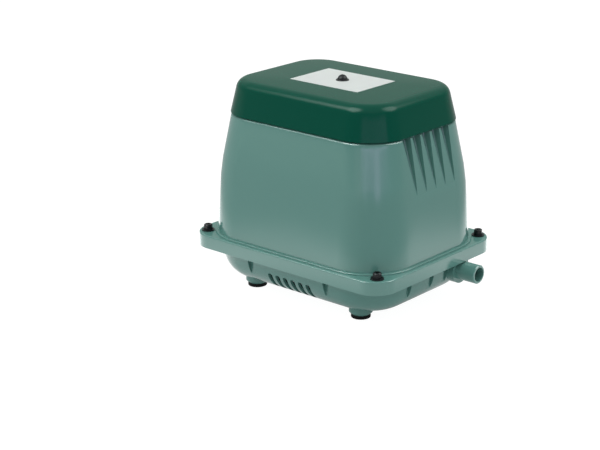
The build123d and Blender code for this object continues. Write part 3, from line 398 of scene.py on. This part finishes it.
def buildFloor():
    # lit and shadowed for the camera, a white sheet fading into a grey table in reflections, with a
    # painted shadow below the pump in those reflections
    mesh = bpy.data.meshes.new("floor")
    bm = bmesh.new()
    bmesh.ops.create_grid(bm, x_segments=1, y_segments=1, size=ground["size"] / 2)
    bmesh.ops.translate(bm, verts=bm.verts, vec=(0, 0, -ground["drop"]))
    bm.to_mesh(mesh)
    bm.free()
    floor = bpy.data.objects.new("floor", mesh)
    bpy.context.scene.collection.objects.link(floor)
    material = bpy.data.materials.new("paleFloor")
    material.use_nodes = True
    tree = material.node_tree
    tree.nodes.clear()
    out = tree.nodes.new("ShaderNodeOutputMaterial")
    diffuse = tree.nodes.new("ShaderNodeBsdfDiffuse")
    diffuse.inputs["Color"].default_value = (*ground["colour"], 1)
    lit = diffuse.outputs["BSDF"]
    shown = mixShaders(tree, ground["shadowShare"], emissionOf(tree, ground["seenGlow"]), lit)
    bounced = mixShaders(tree, ground["bounceShare"], lit, emissionOf(tree, ground["bounceGlow"]))
    place = tree.nodes.new("ShaderNodeTexCoord")
    reach = tree.nodes.new("ShaderNodeVectorMath")
    reach.operation = "LENGTH"
    tree.links.new(place.outputs["Object"], reach.inputs[0])
    away = reach.outputs["Value"]
    turns, _ = turnsAround(tree, place.outputs["Object"])
    sheet = mapRange(tree, away, ground["sheetEnds"], ground["sheetGlow"])
    aisle = mapRange(tree, away, ground["aisleEnds"], ground["aisleGlow"])
    # painted shadow: the reflected glow is dimmed below the pump
    paintedShadow = mapRange(tree, away, ground["paintedShadowEnds"], ground["paintedShadowDimming"])
    level = tree.nodes.new("ShaderNodeMix")
    greys = [(turn, (value, value, value)) for turn, value in sheetShare]
    tree.links.new(colourRamp(tree, turns, greys), level.inputs["Factor"])
    tree.links.new(aisle, level.inputs["A"])
    tree.links.new(sheet, level.inputs["B"])
    glowWithPaintedShadow = tree.nodes.new("ShaderNodeMath")
    glowWithPaintedShadow.operation = "MULTIPLY"
    tree.links.new(level.outputs["Result"], glowWithPaintedShadow.inputs[0])
    tree.links.new(paintedShadow, glowWithPaintedShadow.inputs[1])
    mirrored = emissionOf(tree, glowWithPaintedShadow.outputs["Value"])
    path = tree.nodes.new("ShaderNodeLightPath")
    polished = mixShaders(tree, path.outputs["Is Glossy Ray"], bounced, mirrored)
    seen = mixShaders(tree, path.outputs["Is Camera Ray"], polished, shown)
    tree.links.new(seen, out.inputs["Surface"])
    mesh.materials.append(material)


def buildRoom():
    world = bpy.data.worlds.new("room")
    bpy.context.scene.world = world
    world.use_nodes = True
    tree = world.node_tree
    tree.nodes.clear()
    out = tree.nodes.new("ShaderNodeOutputWorld")
    place = tree.nodes.new("ShaderNodeTexCoord")
    turns, split = turnsAround(tree, place.outputs["Generated"])
    height = split.outputs["Z"]
    seen = colourRamp(tree, turns, horizon)
    for ring, edge in ((lowRing, "lowEdge"), (windowRing, "windowEdge"), (roomRing, "roomEdge")):
        lifted = mapRange(tree, height, studio[edge], (0.0, 1.0))
        seen = blendColours(tree, lifted, seen, colourRamp(tree, turns, ring))
    overhead = mapRange(tree, height, studio["ceilingSeen"], (0.0, 1.0))
    seen = blendColours(tree, overhead, seen, studio["ceiling"])
    for box in studio["boxes"]:
        aimed = tree.nodes.new("ShaderNodeVectorMath")
        aimed.operation = "DOT_PRODUCT"
        aimed.inputs[1].default_value = Vector(box["aim"]).normalized()
        tree.links.new(place.outputs["Generated"], aimed.inputs[0])
        inBox = mapRange(tree, aimed.outputs["Value"], studio["boxEdge"], (0.0, 1.0))
        seen = blendColours(tree, inBox, seen, box["glow"])
    soft = tree.nodes.new("ShaderNodeBackground")
    overhead = mapRange(tree, height, studio["ceilingLit"], (0.0, 1.0))
    ring = colourRamp(tree, turns, surround)
    tree.links.new(blendColours(tree, overhead, ring, studio["ceiling"]), soft.inputs["Color"])
    polished = tree.nodes.new("ShaderNodeBackground")
    tree.links.new(seen, polished.inputs["Color"])
    white = tree.nodes.new("ShaderNodeBackground")
    path = tree.nodes.new("ShaderNodeLightPath")
    inner = mixShaders(
        tree, path.outputs["Is Glossy Ray"], soft.outputs["Background"], polished.outputs["Background"]
    )
    outer = mixShaders(tree, path.outputs["Is Camera Ray"], inner, white.outputs["Background"])
    tree.links.new(outer, out.inputs["Surface"])


lampAim = (0.0, 0.0, 0.1)
lamps = {
    "softTop": {"place": (0.1, 0.2, 1.9), "size": (1.6, 1.6), "power": 10.5},
    "softLeft": {"place": (-1.7, -1.3, 0.9), "size": (0.8, 1.2), "power": 7.5},
    "softRight": {"place": (1.9, 0.8, 0.9), "size": (0.8, 1.2), "power": 3.0},
}


def addLamp(name, facts):
    lamp = bpy.data.lights.new(name, "AREA")
    lamp.shape = "RECTANGLE"
    lamp.size, lamp.size_y = facts["size"]
    lamp.energy = facts["power"]
    holder = bpy.data.objects.new(name, lamp)
    holder.location = facts["place"]
    toAim = Vector(lampAim) - Vector(facts["place"])
    holder.rotation_euler = toAim.to_track_quat("-Z", "Y").to_euler()
    holder.visible_glossy = False
    bpy.context.scene.collection.objects.link(holder)


buildFloor()
buildRoom()
for lampName, lampFacts in lamps.items():
    addLamp(lampName, lampFacts)
print("studio lit")

shot = {
    "azimuth": math.radians(39.9), "elevation": math.radians(17.36), "distance": 1.6165,
    "target": (-0.00825, 0.0, 0.108), "lens": 96.3, "shiftX": -0.0708, "shiftY": -0.0673,
    "sensor": 36.0, "clip": (0.05, 50.0),
}


def buildCamera():
    lens = bpy.data.cameras.new("shot")
    lens.sensor_width = shot["sensor"]
    lens.lens = shot["lens"]
    lens.shift_x = shot["shiftX"]
    lens.shift_y = shot["shiftY"]
    lens.clip_start, lens.clip_end = shot["clip"]
    camera = bpy.data.objects.new("shot", lens)
    level = math.cos(shot["elevation"])
    back = Vector((
        math.sin(shot["azimuth"]) * level, -math.cos(shot["azimuth"]) * level,
        math.sin(shot["elevation"]),
    ))
    camera.location = Vector(shot["target"]) + back * shot["distance"]
    camera.rotation_euler = (-back).to_track_quat("-Z", "Y").to_euler()
    bpy.context.scene.collection.objects.link(camera)
    bpy.context.scene.camera = camera


buildCamera()
bpy.context.scene.view_settings.view_transform = "Standard"
print("camera set")
